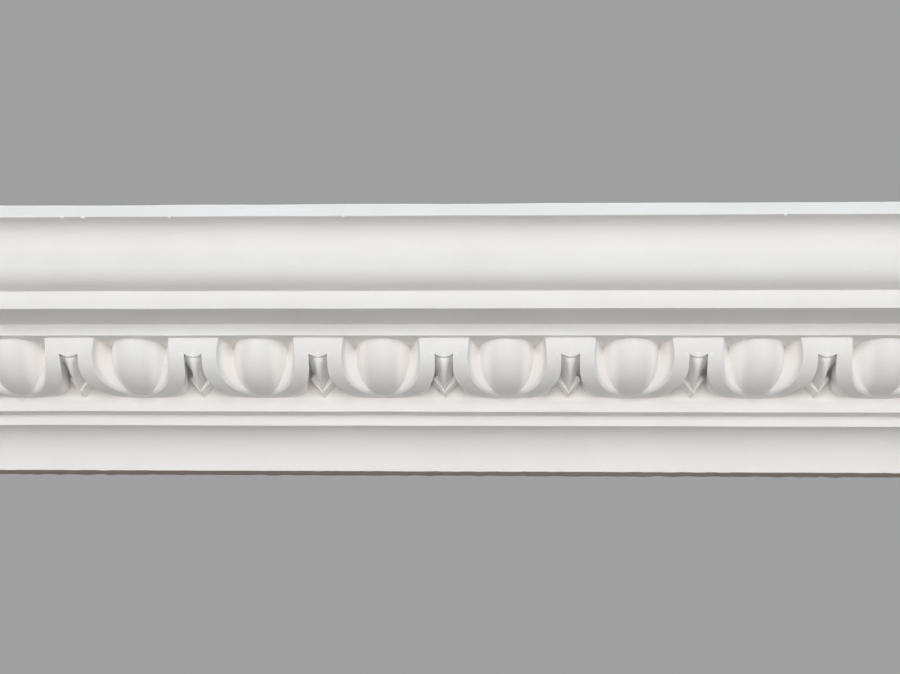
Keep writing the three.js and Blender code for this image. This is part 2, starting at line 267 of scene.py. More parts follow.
class Shell:
    """Points and faces collected from several grids, in millimetres, back and up."""

    def __init__(self):
        self.points = []
        self.faces = []
        self.count = 0

    def add_points(self, points):
        points = np.asarray(points, float).reshape(-1, 3)
        start = self.count
        self.points.append(points)
        self.count += len(points)
        return start

    def grid(self, points, turned=False):
        """Joins the matching steps of neighbouring rows of an array of rows of points."""
        rows, columns = points.shape[:2]
        cells = grid_quads(rows, columns, self.add_points(points))
        self.faces += (cells[:, ::-1] if turned else cells).tolist()

    def cap(self, loop, turned=False):
        """One flat face inside a loop of points."""
        start = self.add_points(loop)
        face = list(range(start, start + len(loop)))
        self.faces.append(face[::-1] if turned else face)

    def welded(self, grain=1e-4):
        """The points with those that fall together made one, and the faces without doubles."""
        points = np.vstack(self.points)
        keys = np.round(points / grain).astype(np.int64)
        _, first, which = np.unique(keys, axis=0, return_index=True, return_inverse=True)
        which = which.reshape(-1)
        faces = [list(dict.fromkeys(which[face].tolist())) for face in self.faces]
        return points[first], [face for face in faces if len(face) > 2]


def to_metres(points):
    """Along, back and up in millimetres, as X, Y and Z in metres from the wall strip."""
    return (points - [0, WALL_BACK, ORIGIN_UP]) * MM


def make_object(name, shell):
    """A mesh object from a closed shell, with its faces turned to point outwards."""
    points, faces = shell.welded()
    mesh = bpy.data.meshes.new(name)
    mesh.from_pydata(to_metres(points).tolist(), [], faces)
    work = bmesh.new()
    work.from_mesh(mesh)
    open_edges = sum(not edge.is_manifold for edge in work.edges)
    bmesh.ops.recalc_face_normals(work, faces=work.faces)
    work.to_mesh(mesh)
    work.free()
    made = bpy.data.objects.new(name, mesh)
    bpy.context.collection.objects.link(made)
    print(name, "has", len(mesh.polygons), "faces and", open_edges, "open edges")
    return made


def rounded_edge(before, edge, after, radius, steps):
    """Small curves over an edge, one for each point of it. Each starts one radius towards
    "before", is pulled to the edge and ends one radius towards "after": the weights of the
    three points are (1-t)^2, 2t(1-t) and t^2. The radius shrinks where a neighbour is near."""
    towards_before = before - edge
    towards_after = after - edge
    near = np.linalg.norm(towards_before, axis=-1, keepdims=True)
    far = np.linalg.norm(towards_after, axis=-1, keepdims=True)
    small = np.minimum(radius, MOST_OF_A_SIDE * np.minimum(near, far))
    start = edge + towards_before / np.maximum(near, 1e-9) * small
    end = edge + towards_after / np.maximum(far, 1e-9) * small
    t = np.linspace(0, 1, steps + 1)[:, None, None]
    curve = (1 - t) ** 2 * start + 2 * t * (1 - t) * edge + t**2 * end
    return np.moveaxis(curve, 0, 1)


print("helpers ready")

# %% [markdown]
# ## The run mouldings
#
# On the real piece the straight mouldings are formed by pulling a steel template along wet
# plaster to make the mould's model. The surface is that same idea: one section carried along
# the wall. The template's corners are never quite sharp, so each corner of the section
# becomes a small curve. The strip behind the eggs stays a plain recess here.

# %% Section of the run mouldings
ARRIS_RADIUS = 0.45
CURVE_STEPS = 18
ARRIS_STEPS = 4
SIDE_STEP = 2.4
STATION_STEP = 4.0
OVERRUN = 3.0
SHARP_TURN = 25


def quarter(first, last, fullness=2, level_first=True):
    """A quarter of an ellipse between two corners of the section: back follows sin(t)^p and
    up cos(t)^p, with p = 2 / fullness and t growing from 0 to 90 degrees, or the other way
    round. A fullness over 2 fills the corner more than an ellipse does."""
    if not level_first:
        return quarter(last, first, fullness)[::-1]
    turn = np.linspace(0, math.pi / 2, CURVE_STEPS + 1)
    back = mix(first[0], last[0], np.sin(turn) ** (2 / fullness))
    up = mix(last[1], first[1], np.maximum(0, np.cos(turn)) ** (2 / fullness))
    return np.column_stack([back, up])


def soften(outline, radius):
    """The same outline with each sharp corner turned into a small curve of this reach."""
    sides = np.diff(outline, axis=0)
    sides /= np.linalg.norm(sides, axis=1, keepdims=True)
    turns = np.degrees(np.arccos(np.clip((sides[:-1] * sides[1:]).sum(axis=1), -1, 1)))
    t = np.linspace(0, 1, ARRIS_STEPS + 1)[:, None]
    parts = [outline[:1]]
    for corner, before, after, turn in zip(outline[1:-1], sides[:-1], sides[1:], turns):
        start = corner - before * radius
        end = corner + after * radius
        curve = (1 - t) ** 2 * start + 2 * t * (1 - t) * corner + t**2 * end
        parts.append(curve if turn > SHARP_TURN else corner[None])
    return np.vstack([*parts, outline[-1:]])


def subdivide(outline, longest):
    """The same outline with evenly spaced points added until no side is longer than this."""
    lengths = np.linalg.norm(np.diff(outline, axis=0), axis=1)
    counts = np.maximum(1, np.ceil(lengths / longest)).astype(int)
    places = np.concatenate([i + np.arange(n) / n for i, n in enumerate(counts)])
    places = np.append(places, len(outline) - 1)
    steps = np.arange(len(outline))
    return np.column_stack([np.interp(places, steps, axis) for axis in outline.T])


def run_section():
    """The closed section of the run mouldings, from the middle of the sloping back over the
    ceiling strip, down the moulded face and round the foot to the wall strip."""
    ceiling_back = np.array([ROOM_FRONT + CEILING_STRIP_DEPTH, CEILING_UP])
    wall_top = np.array([WALL_BACK, FOOT_UP + WALL_STRIP_HEIGHT])
    slope_middle = (ceiling_back + wall_top) / 2
    neck = (ROOM_FRONT + CYMA_DEPTH / 2, CYMA_MIDDLE)
    outline = np.vstack([
        slope_middle,
        ceiling_back,
        (ROOM_FRONT, CEILING_UP),
        quarter((ROOM_FRONT, CYMA_TOP), neck, CYMA_FULLNESS),
        quarter(neck, (CORONA_FRONT, CORONA_TOP), CYMA_FULLNESS, level_first=False)[1:],
        (CORONA_FRONT, BED_FILLET_HEIGHT),
        (-QUIRK_DEPTH, BED_FILLET_HEIGHT),
        (-QUIRK_DEPTH, 0),
        (FASCIA_BACK, 0),
        (FASCIA_BACK, -FASCIA_DROP),
        (FASCIA_BACK + STEP_DEPTH, -FASCIA_DROP),
        quarter((FASCIA_BACK + STEP_DEPTH, COVE_TOP), (WALL_BACK - FOOT_DEPTH, FOOT_UP)),
        (WALL_BACK, FOOT_UP),
        wall_top,
        slope_middle,
    ])
    return subdivide(soften(outline, ARRIS_RADIUS), SIDE_STEP)


def build_run():
    """The section at even stations along the wall, closed by a flat cap past each end."""
    outline = run_section()
    stations = int(LENGTH / STATION_STEP) + 2
    along = np.linspace(-LENGTH / 2 - OVERRUN, LENGTH / 2 + OVERRUN, stations)
    grid = np.empty((stations, len(outline), 3))
    grid[..., 0] = along[:, None]
    grid[..., 1:] = outline
    shell = Shell()
    shell.grid(grid)
    shell.cap(grid[0, :-1])
    shell.cap(grid[-1, :-1], turned=True)
    return make_object("run_mouldings", shell)


run_solid = build_run()

# %% [markdown]
# ## The ovolo that carries the ornament
#
# Before it is carved, the band is an ovolo: a bulging quarter that falls back from the roof
# line to the fascia. Every edge of the ornament is drawn on that face, square to it, so a
# place on it is given by the distance across and the distance along the slanting chord.

# %% The ovolo's face
FACE_STEPS = 600
BURY = 1.5
RELIEF_BACK = FASCIA_BACK + BURY


def ovolo_face():
    """Back and up of the face. Back is depth x (1 - cos(t)^p) and up is -height x sin(t)^p,
    with p = 2 / fullness, and a level stretch runs on to behind the fascia."""
    turn = np.linspace(0, math.pi / 2, FACE_STEPS + 1)
    power = 2 / OVOLO_FULLNESS
    back = OVOLO_DEPTH * (1 - np.cos(turn) ** power)
    up = -OVOLO_HEIGHT * np.sin(turn) ** power
    return np.vstack([np.column_stack([back, up]), (RELIEF_BACK, -OVOLO_HEIGHT)])


face_points = ovolo_face()
face_chords = (face_points[:, 0] - face_points[:, 1]) / math.sqrt(2)


def on_ovolo(across, chord):
    """Points on the ovolo's face, as along, back and up."""
    back = np.interp(chord, face_chords, face_points[:, 0])
    up = np.interp(chord, face_chords, face_points[:, 1])
    return np.stack(np.broadcast_arrays(across, back, up), axis=-1)


def into_ovolo(chord):
    """The direction straight into the block from the ovolo's face."""
    nudge = OVOLO_CHORD / 60
    run = on_ovolo(0, chord + nudge) - on_ovolo(0, np.maximum(0, chord - nudge))
    inward = np.stack([0 * chord, -run[..., 2], run[..., 1]], axis=-1)
    return inward / np.linalg.norm(inward, axis=-1, keepdims=True)


print("ovolo chord, mm:", round(face_chords[-2], 1))

# %% [markdown]
# ## Eggs, shells and keystones
#
# Each egg hangs in a hollow shell whose two edges are half ellipses on the ovolo's face. A
# real carver cuts the shells first and rounds the egg last. Here one grid does the same in
# order: it starts at the egg's top, swells over the egg, dips through the hollow, turns over
# the shell's inner edge, crosses the band, turns over the outer edge and goes straight back.
# The grid's columns go round the shell from one keystone's middle to the next.

# %% Sizes of the ornament
INNER_HALF = 0.3125 * PITCH
INNER_HALF_AT_ROOF = 0.3 * PITCH
INNER_CENTRE = 0.242 * OVOLO_CHORD
INNER_REACH = 0.733 * OVOLO_CHORD
OUTER_HALF = 0.428 * PITCH
OUTER_CENTRE = 0.361 * OVOLO_CHORD
OUTER_REACH = 0.7 * OVOLO_CHORD
NOTCH_HALF = HALF_PITCH - OUTER_HALF
NOTCH_CORNER = 0.168 * OVOLO_CHORD
NOTCH_MIDDLE = 0.229 * OVOLO_CHORD
INNER_AT_NOTCH_MIDDLE = 0.038 * OVOLO_CHORD
INNER_AT_NOTCH_CORNER = 0.145 * OVOLO_CHORD
UNDERCUT = 0.16

EGG_HALF = 0.245 * PITCH
EGG_DEPTH = 0.862 * OVOLO_DEPTH
EGG_MIDDLE_BACK = 0.902 * OVOLO_DEPTH
EGG_ACROSS = 2.4
EGG_ROUND = 2.2
CREASE_HALF = 0.223 * PITCH
CREASE_ACROSS = 2.2
CREASE_DOWN = 3.2
PUSH_AT_ROOF = 0.175 * OVOLO_CHORD
PUSH_AT_TIP = 0.016 * OVOLO_CHORD
DEEPEST = 0.6
ROOF_FILLET = 4.5

SEAM_COLUMNS = 5
NOTCH_COLUMNS = 8
EDGE_COLUMNS = 36
EGG_LANES = 24
HOLLOW_LANES = 12
BAND_LANES = 12
WALL_LANES = 2
CARVED_RADIUS = 0.4


def inner_half(chord):
    """Half the width of the shell's opening: a sine rise down to the centre of the ellipse,
    then the ellipse, half width x sqrt(1 - ((chord - centre) / reach)^2)."""
    rise = np.sin(np.clip(chord / INNER_CENTRE, 0, 1) * math.pi / 2)
    above = mix(INNER_HALF_AT_ROOF, INNER_HALF, rise)
    fall = np.clip((chord - INNER_CENTRE) / INNER_REACH, 0, 1)
    return np.where(chord < INNER_CENTRE, above, INNER_HALF * np.sqrt(1 - fall**2))


def shell_columns():
    """Inner and outer edge of the shell for each column from the keystone's middle to the
    egg's tip: across and chord of each, and the share of the way down."""
    seam = np.linspace(0, 1, SEAM_COLUMNS + 1)
    notch = np.linspace(0, 1, NOTCH_COLUMNS + 1)[1:]
    edge = np.linspace(0, 1, EDGE_COLUMNS + 1)[1:]
    inner_turn = mix(math.acos((INNER_AT_NOTCH_CORNER - INNER_CENTRE) / INNER_REACH), 0, edge)
    outer_turn = mix(math.acos((NOTCH_CORNER - OUTER_CENTRE) / OUTER_REACH), 0, edge)
    behind_fascia = (FASCIA_BACK + BURY / 2 + OVOLO_HEIGHT) / math.sqrt(2)
    inner_chord = np.concatenate([
        seam * INNER_AT_NOTCH_MIDDLE,
        mix(INNER_AT_NOTCH_MIDDLE, INNER_AT_NOTCH_CORNER, notch),
        INNER_CENTRE + INNER_REACH * np.cos(inner_turn),
    ])
    outer_across = np.concatenate([
        np.full(len(seam), HALF_PITCH),
        HALF_PITCH - NOTCH_HALF * notch,
        OUTER_HALF * np.sin(np.minimum(outer_turn, math.pi / 2)),
    ])
    outer_chord = np.concatenate([
        seam * NOTCH_MIDDLE,
        mix(NOTCH_MIDDLE, NOTCH_CORNER, notch**2),
        np.minimum(OUTER_CENTRE + OUTER_REACH * np.cos(outer_turn), behind_fascia),
    ])
    share = inner_chord / (INNER_CENTRE + INNER_REACH)
    draw_in = np.concatenate([0 * seam, notch, np.sin(outer_turn)])
    draw_up = np.concatenate([0 * seam, 0 * notch, np.maximum(0, np.cos(outer_turn))])
    drawn = UNDERCUT * np.column_stack([-draw_in, np.ones(len(share)), draw_up])
    return share, inner_half(inner_chord), inner_chord, outer_across, outer_chord, drawn


def on_egg(across, turn_share):
    """The egg swells by (1 - (across / half)^a)^(1 / r) and turns from the roof down to its
    underside: back is middle - depth x swell x cos(t)^p, up is -height x swell x sin(t)^p."""
    turn = turn_share * math.pi / 2
    swell = (1 - np.minimum(1, across / EGG_HALF) ** EGG_ACROSS) ** (1 / EGG_ROUND)
    power = 2 / EGG_ROUND
    back = EGG_MIDDLE_BACK - EGG_DEPTH * swell * np.cos(turn) ** power
    up = -OVOLO_HEIGHT * swell * np.sin(turn) ** power
    return np.stack(np.broadcast_arrays(across, back, up), axis=-1)


def half_repeat():
    """The grid of one half of one repeat: columns round the shell, lanes from the egg's top
    to the wall behind the outer edge. Its shape is (columns, lanes, 3)."""
    share, inner_across, inner_chord, outer_across, outer_chord, drawn = shell_columns()
    crease_turn = share * math.pi / 2
    crease_across = CREASE_HALF * np.maximum(0, np.cos(crease_turn)) ** (2 / CREASE_ACROSS)
    crease_down = np.sin(crease_turn) ** (2 / CREASE_DOWN)
    ring = np.sin(np.linspace(0, math.pi / 2, EGG_LANES + 1))
    egg = on_egg(crease_across[:, None] * ring, crease_down[:, None] * ring)

    meet = egg[:, -1]
    lip = on_ovolo(inner_across, inner_chord)
    push = mix(PUSH_AT_ROOF, PUSH_AT_TIP, share)[:, None]
    pull = mix(meet, lip, DEEPEST) + into_ovolo(inner_chord) * push
    short = 1 - np.clip(-lip[:, 2] / ROOF_FILLET, 0, 1)
    pull[:, 1] -= ROOF_FILLET * (1 - np.sqrt(1 - short**2))
    pull[0, 2] = 0
    t = np.linspace(0, 1, HOLLOW_LANES + 1)[1:-1, None, None]
    hollow = np.moveaxis((1 - t) ** 2 * meet + 2 * t * (1 - t) * pull + t**2 * lip, 0, 1)

    part = np.linspace(0, 1, BAND_LANES + 1)[1:-1]
    band_across = mix(inner_across[:, None], outer_across[:, None], part)
    band_chord = mix(inner_chord[:, None], outer_chord[:, None], part)
    band = on_ovolo(band_across, band_chord)

    rim = on_ovolo(outer_across, outer_chord)
    drawn[:, 1] = 1
    behind = rim + drawn * (RELIEF_BACK - rim[:, 1:2])
    wall = mix(rim[:, None], behind[:, None], np.linspace(0, 1, WALL_LANES + 1)[1:, None])

    inner_round = rounded_edge(hollow[:, -1], lip, band[:, 0], CARVED_RADIUS, ARRIS_STEPS)
    outer_round = rounded_edge(band[:, -1], rim, behind, CARVED_RADIUS, ARRIS_STEPS)
    outer_round[: SEAM_COLUMNS] = rim[: SEAM_COLUMNS, None]
    return np.concatenate([egg, hollow, inner_round, band, outer_round, wall], axis=1)


half = half_repeat()
print("half a repeat:", half.shape[0], "columns of", half.shape[1], "points")

# %% [markdown]
# ## The whole strip of ornament
#
# One half is mirrored to make a repeat, and the repeats share the points at the middle of
# each keystone. The strip is then closed behind, inside the run mouldings, so that it can be
# joined to them as one solid.

# %% Repeats joined into one strip


def repeat_grid(number):
    """A whole repeat: the half mirrored to the left, then the half itself in reverse."""
    left = half * [-1, 1, 1]
    whole = np.concatenate([left, half[-2::-1]])
    return whole + [(number + 0.5 - REPEATS / 2) * PITCH, 0, 0]


def build_ornament():
    shell = Shell()
    wall = WALL_LANES + 1
    for number in range(REPEATS):
        grid = repeat_grid(number)
        front, seam = grid[:, :-WALL_LANES], SEAM_COLUMNS
        shell.grid(front)
        shell.grid(grid[seam : len(grid) - seam, -wall:])
        roof = np.concatenate([grid[0, : 1 - wall][::-1], grid[-1, 1 : 1 - wall]])
        raised = roof.copy()
        raised[:, 2] = BURY
        rear = raised.copy()
        rear[:, 1] = RELIEF_BACK
        shell.grid(np.stack([roof, raised, rear]))
        shell.cap(np.concatenate([rear, grid[seam : len(grid) - seam, -1][::-1]]))
        for side, last in ((-1, 0), (1, REPEATS - 1)):
            if number != last:
                continue
            seam_edge = grid[: seam + 1, -wall] if side < 0 else grid[: -seam - 2 : -1, -wall]
            wall_end = grid[seam, -wall:] if side < 0 else grid[-seam - 1, -wall:]
            top = seam_edge[0] * [1, 1, 0] + [0, 0, BURY]
            corner = top * [1, 0, 1] + [0, RELIEF_BACK, 0]
            loop = np.concatenate([[corner, top], seam_edge, wall_end[1:], [corner]])
            pushed = loop + [side * OVERRUN, 0, 0]
            shell.grid(np.stack([loop, pushed]))
            shell.cap(pushed[:-1])
    return make_object("egg_and_dart_strip", shell)


ornament = build_ornament()

# %% [markdown]
# ## The darts
#
# A dart stands in each gap between the shells: a shaft with a rounded ridge on a flat
# arrowhead that stands off the fascia. Carvers cut each one by hand, so they differ a little
# from each other: here each has its own small lean and width, from a seeded random draw.

# %% Sizes and shape of a dart
ARROW_FACE_BACK = FASCIA_BACK - 9.2
ARROW_TIP = 0.995 * OVOLO_HEIGHT
ARROW_SHOULDER = 0.65 * OVOLO_HEIGHT
ARROW_WAIST = 0.54 * OVOLO_HEIGHT
ARROW_HALF = 0.097 * PITCH
WAIST_HALF = 0.066 * PITCH
SHAFT_TOP = 0.3 * OVOLO_HEIGHT
RIDGE_DROP = 0.4 * OVOLO_HEIGHT
SHAFT_TIP = 0.964 * OVOLO_HEIGHT
RIDGE_BACK = 0.108 * OVOLO_DEPTH
CREVICE_BACK = 0.18 * OVOLO_DEPTH
SHAFT_HALF = 0.0735 * PITCH
SHAFT_NARROWING = 1.2
SHAFT_BULGE = 2.3
SHAFT_ROUNDNESS = 3
BLUNT_TIP = 0.01
LEAN_SPREAD = 0.012
WIDTH_SPREAD = 0.02
SHAFT_INSIDE = 0.98
DART_STEPS = ((SHAFT_TOP, RIDGE_DROP, 4), (RIDGE_DROP, ARROW_WAIST, 6),
              (ARROW_WAIST, ARROW_SHOULDER, 4), (ARROW_SHOULDER, ARROW_TIP, 18))
SHAFT_COLUMNS = 20
PLATE_COLUMNS = 3
DART_EDGE = 0.25

random = np.random.default_rng(7)


def between(value, first, last):
    return np.clip((value - first) / (last - first), 0, 1)


def shaft_half_width(drop):
    """Full down to a sixth of the ridge's fall, then straight down to a blunt tip."""
    left = 1 - between(drop, RIDGE_DROP, SHAFT_TIP)
    return SHAFT_HALF * np.clip(left * SHAFT_NARROWING, BLUNT_TIP, 1)


def dart_face(across, drop):
    """Depth of the face: a ridge that leans back by fall ^ bulge, and flanks that leave it
    by s ^ roundness, where s is the distance across as a share of the shaft's width."""
    fall = between(drop, RIDGE_DROP, SHAFT_TIP)
    ridge = mix(RIDGE_BACK, ARROW_FACE_BACK, fall**SHAFT_BULGE)
    foot = mix(CREVICE_BACK, ARROW_FACE_BACK, between(drop, RIDGE_DROP, ARROW_WAIST))
    flank = np.minimum(1, np.abs(across) / shaft_half_width(drop))
    return mix(ridge, np.maximum(ridge, foot), flank**SHAFT_ROUNDNESS)


def dart_half_width(drop):
    """Level down to the ridge's start, in to the waist, out to the shoulder, then straight
    down to a blunt tip."""
    above = mix(ARROW_HALF, WAIST_HALF, between(drop, RIDGE_DROP, ARROW_WAIST))
    below = mix(WAIST_HALF, ARROW_HALF, between(drop, ARROW_WAIST, ARROW_SHOULDER))
    taper = np.maximum(BLUNT_TIP, 1 - between(drop, ARROW_SHOULDER, ARROW_TIP))
    return np.where(drop < ARROW_WAIST, above, below * taper)


def build_dart(shell, middle):
    """Level rows from under the keystone down to the tip. Each row runs across the face,
    turns over its edge and goes back along the side to behind the fascia."""
    lean, widen = random.normal(0, LEAN_SPREAD), random.normal(1, WIDTH_SPREAD)
    pieces = [np.linspace(first, last, count + 1)[1:] for first, last, count in DART_STEPS]
    drop = np.concatenate([[SHAFT_TOP], *pieces])
    width = dart_half_width(drop) * widen
    shaft = np.minimum(SHAFT_INSIDE * width, shaft_half_width(drop))
    shares = np.sin(np.linspace(-math.pi / 2, math.pi / 2, SHAFT_COLUMNS + 1))
    plate = mix(shaft[:, None], width[:, None], np.linspace(0, 1, PLATE_COLUMNS + 1)[1:])
    across = np.concatenate([-plate[:, ::-1], shares * shaft[:, None], plate], axis=1)
    row = np.broadcast_to(drop[:, None], across.shape)
    front = np.stack([across, dart_face(across, row), -row], axis=-1)
    right, left = front[:, -1].copy(), front[:, 0].copy()
    right[:, 1] = left[:, 1] = RELIEF_BACK
    right_edge = rounded_edge(front[:, -2], front[:, -1], right, DART_EDGE, ARRIS_STEPS)
    left_edge = rounded_edge(left, front[:, 0], front[:, 1], DART_EDGE, ARRIS_STEPS)
    rows = np.concatenate(
        [left[:, None], left_edge, front[:, 1:-1], right_edge, right[:, None], left[:, None]],
        axis=1,
    )
    rows[..., 0] += middle + lean * (-rows[..., 2] - SHAFT_TOP)
    shell.grid(rows)
    shell.cap(rows[0, :-1])
    shell.cap(rows[-1, :-1], turned=True)


def build_darts():
    shell = Shell()
    for number in range(REPEATS + 1):
        build_dart(shell, (number - REPEATS / 2) * PITCH)
    return make_object("darts", shell)


darts = build_darts()

# %% [markdown]
# ## Crumbs on the top fillet
#
# A few crumbs of plaster stayed on the lower arris of the top fillet, where the mould's
# sharp inner corner tore a little each time a cast was pulled. Each crumb is a small
# squashed ball partly sunk in the arris. The table below gives the place along the piece and
# the radius of each, in millimetres.

# %% Crumbs
CRUMB_SIZES = {
    -249: 0.7, -244: 0.6, -183: 0.8, -173: 1.1, -131: 0.8, -47: 0.6, 163: 0.75, 220: 0.7,
}
CRUMB_RINGS = 5
CRUMB_SIDES = 9
CRUMB_CAP = 0.9
CRUMB_SQUASH = 0.7
CRUMB_SHAKE = 0.12
CRUMB_SUNK = 0.5
CRUMB_LOWERED = 0.2


def build_crumbs():
    """Balls of rings between two flat caps, each ring's radius shaken by a tenth or so."""
    shell = Shell()
    height = np.linspace(-CRUMB_CAP, CRUMB_CAP, CRUMB_RINGS)
    turn = np.linspace(0, 2 * math.pi, CRUMB_SIDES + 1)
    ring = np.stack([np.cos(turn), np.sin(turn)], axis=-1)
    for middle, size in CRUMB_SIZES.items():
        shake = random.normal(1, CRUMB_SHAKE, (CRUMB_RINGS, CRUMB_SIDES))
        radius = np.sqrt(1 - height**2)[:, None] * np.concatenate([shake, shake[:, :1]], axis=1)
        along_back = radius[..., None] * ring
        up = np.broadcast_to(CRUMB_SQUASH * height[:, None, None], radius.shape + (1,))
        rows = size * np.concatenate([along_back, up], axis=-1)
        rows += (middle, ROOM_FRONT + CRUMB_SUNK * size, CYMA_TOP - CRUMB_LOWERED * size)
        shell.grid(rows[::-1])
        shell.cap(rows[-1, :-1])
        shell.cap(rows[0, :-1], turned=True)
    return make_object("crumbs", shell)


crumbs = build_crumbs()
print("crumbs:", len(CRUMB_SIZES), "with", len(crumbs.data.vertices), "points")

# %% [markdown]
# ## One cast, sawn to length
#
# The strip and the darts are joined to the run mouldings with a Boolean modifier, because
# the real cast has no seam there, and a saw block as long as the part cuts the ends square.
# The block's ends carry the faint ridges of the saw's teeth. The modifiers are applied, so
# what is left is a single closed mesh.

# %% Join the solids and saw the ends
SAW_GRID = 1.6
SAW_DEPTH = 0.12
SAW_PITCH = 3.1
SAW_REACH = 1.5 * WALL_BACK
SAW_BEND = 0.002
SLOW_ALONG_STROKE = 0.37
SLOW_UP = 0.21


def build_saw_block():
    """A block between the sawn ends. Its end faces wave by depth x sin(place / pitch), with
    the place measured along a line that bends a little, as a hand saw's strokes do."""
    places = np.linspace(-SAW_REACH, SAW_REACH, int(2 * SAW_REACH / SAW_GRID))
    back, up = np.meshgrid(places, places)
    stroke = 0.8 * up + 0.6 * back + SAW_BEND * back**2
    wave = SAW_DEPTH * (np.sin(stroke * 2 * math.pi / SAW_PITCH) - 1)
    wave += SAW_DEPTH * np.sin(stroke * SLOW_ALONG_STROKE + up * SLOW_UP)
    ends = []
    shell = Shell()
    for side in (-1, 1):
        along = side * (LENGTH / 2 + np.minimum(0, wave))
        end = np.stack([along, back, up], axis=-1)
        shell.grid(end, turned=side < 0)
        ends.append(end)
    for pick in (np.s_[0], np.s_[-1], np.s_[:, 0], np.s_[:, -1]):
        shell.grid(np.stack([ends[0][pick], ends[1][pick]]))
    return make_object("saw_block", shell)


def combine(target, other, operation):
    """Adds a Boolean modifier that treats both meshes as closed solids."""
    modifier = target.modifiers.new(operation.lower(), "BOOLEAN")
    modifier.object = other
    modifier.operation = operation
    modifier.solver = "MANIFOLD"


def joined(name, target, steps):
    """Runs the Boolean steps and keeps the result as a new object with a mesh of its own."""
    for other, operation in steps:
        combine(target, other, operation)
    evaluated = target.evaluated_get(bpy.context.evaluated_depsgraph_get())
    mesh = bpy.data.meshes.new_from_object(evaluated)
    mesh.name = name
    for used in [target, *[other for other, _ in steps]]:
        bpy.data.objects.remove(used)
    made = bpy.data.objects.new(name, mesh)
    bpy.context.collection.objects.link(made)
    return made


saw_block = build_saw_block()
cast = joined(
    "cornice_cast",
    run_solid,
    [(ornament, "UNION"), (darts, "UNION"), (crumbs, "UNION"), (saw_block, "INTERSECT")],
)
print("cast:", len(cast.data.vertices), "points,", len(cast.data.polygons), "faces")

# %% [markdown]
# ## Which faces are which
#
# A cast has one good side. The face that lay in the mould is smooth and white. The back and
# the strips that bed on the wall and the ceiling were ruled off by hand while the plaster
# set, and the ends are as the saw left them. Each face is told apart by where it lies and
# which way it looks.

# %% Finish of each face
CAST, RULED, SAWN = 0, 1, 2
NEAR = 0.6
CEILING_ARRIS = 1.5
END_DEPTH = 1
LOOKING_DOWN = -0.6
LOOKING_ALONG = 0.8


def read_all(collection, name, width, kind=float):
    """One attribute of every vertex, edge, loop or face as an array."""
    values = np.empty(len(collection) * width, kind)
    collection.foreach_get(name, values)
    return values.reshape(-1, width) if width > 1 else values


def in_section(points):
    """Metres in the scene back to along, back and up in millimetres."""
    return points / MM + [0, WALL_BACK, ORIGIN_UP]


def finish_of_faces(mesh):
    """The finish number of every face, from the middle of the face and its normal."""
    along, back, up = in_section(read_all(mesh.polygons, "center", 3)).T
    normals = read_all(mesh.polygons, "normal", 3)
    ceiling_back = ROOM_FRONT + CEILING_STRIP_DEPTH
    slope = np.clip((back - ceiling_back) / (WALL_BACK - ceiling_back), 0, 1)
    slope_up = mix(CEILING_UP, FOOT_UP + WALL_STRIP_HEIGHT, slope)
    behind = (up > slope_up - NEAR) & (back > ROOM_FRONT + CEILING_ARRIS)
    behind |= (back > WALL_BACK - NEAR) | (up < FOOT_UP + NEAR) & (normals[:, 2] < LOOKING_DOWN)
    finish = np.where(behind, RULED, CAST)
    ends = (np.abs(along) > LENGTH / 2 - END_DEPTH) & (np.abs(normals[:, 0]) > LOOKING_ALONG)
    return np.where(ends, SAWN, finish).astype(np.int32)


finish = finish_of_faces(cast.data)
print("faces by finish:", np.bincount(finish).tolist())

# %% [markdown]
# ## The hand of the maker
#
# A run mould is never dead straight, and a ruled face tears a little under the straight-edge.
# Both are real relief here: every point moves along its own normal by a sum of sine waves.
# The cast face moves by under a quarter of a millimetre in long waves, and the ruled faces
# behind the keystones by up to about half a millimetre in short ones.

# %% Waves in the surface
CAST_WAVE = 0.09
CAST_WAVE_LENGTHS = (25, 90)
CAST_STRETCH = 1.5
RAGGED_WAVE = 0.22
RAGGED_WAVE_LENGTHS = (2.2, 7)
WAVE_COUNT = 14


def waves(points, shortest, longest, stretch, seed):
    """The sum of sines of many plane waves with random directions, lengths and starts,
    divided by the root of their number. Stretch makes them longer along the piece."""
    draw = np.random.default_rng(seed)
    turned = draw.normal(size=(WAVE_COUNT, 3)) / [stretch, 1, 1]
    turned /= np.linalg.norm(turned * [stretch, 1, 1], axis=1, keepdims=True)
    lengths = draw.uniform(shortest, longest, (WAVE_COUNT, 1))
    starts = draw.uniform(0, 2 * math.pi, WAVE_COUNT)
    return np.sin(points @ (2 * math.pi * turned / lengths).T + starts).sum(1) / WAVE_COUNT**0.5


def share_on_vertices(mesh, chosen):
    """For every vertex, the share of its faces that are chosen."""
    loops = read_all(mesh.loops, "vertex_index", 1, np.int32)
    per_loop = np.repeat(chosen, read_all(mesh.polygons, "loop_total", 1, np.int32))
    count = len(mesh.vertices)
    whole = np.maximum(1, np.bincount(loops, minlength=count))
    return np.bincount(loops, per_loop.astype(float), minlength=count) / whole


def move_by_waves(mesh, finish):
    """Each point moves by the waves of the finishes round it. Points of the sawn ends and
    ruled points ahead of the keystones' face stay in place."""
    points = in_section(read_all(mesh.vertices, "co", 3))
    normals = read_all(mesh.vertices, "normal", 3)
    ruled = share_on_vertices(mesh, finish == RULED)
    sawn = share_on_vertices(mesh, finish == SAWN)
    gentle = CAST_WAVE * waves(points, *CAST_WAVE_LENGTHS, CAST_STRETCH, seed=11)
    ragged = RAGGED_WAVE * waves(points, *RAGGED_WAVE_LENGTHS, stretch=1, seed=13)
    ragged *= points[:, 1] > 0
    whole = ((1 - ruled) * gentle + ruled * ragged) * (sawn == 0)
    moved = points + normals * whole[:, None]
    mesh.vertices.foreach_set("co", to_metres(moved).ravel())
    mesh.update()


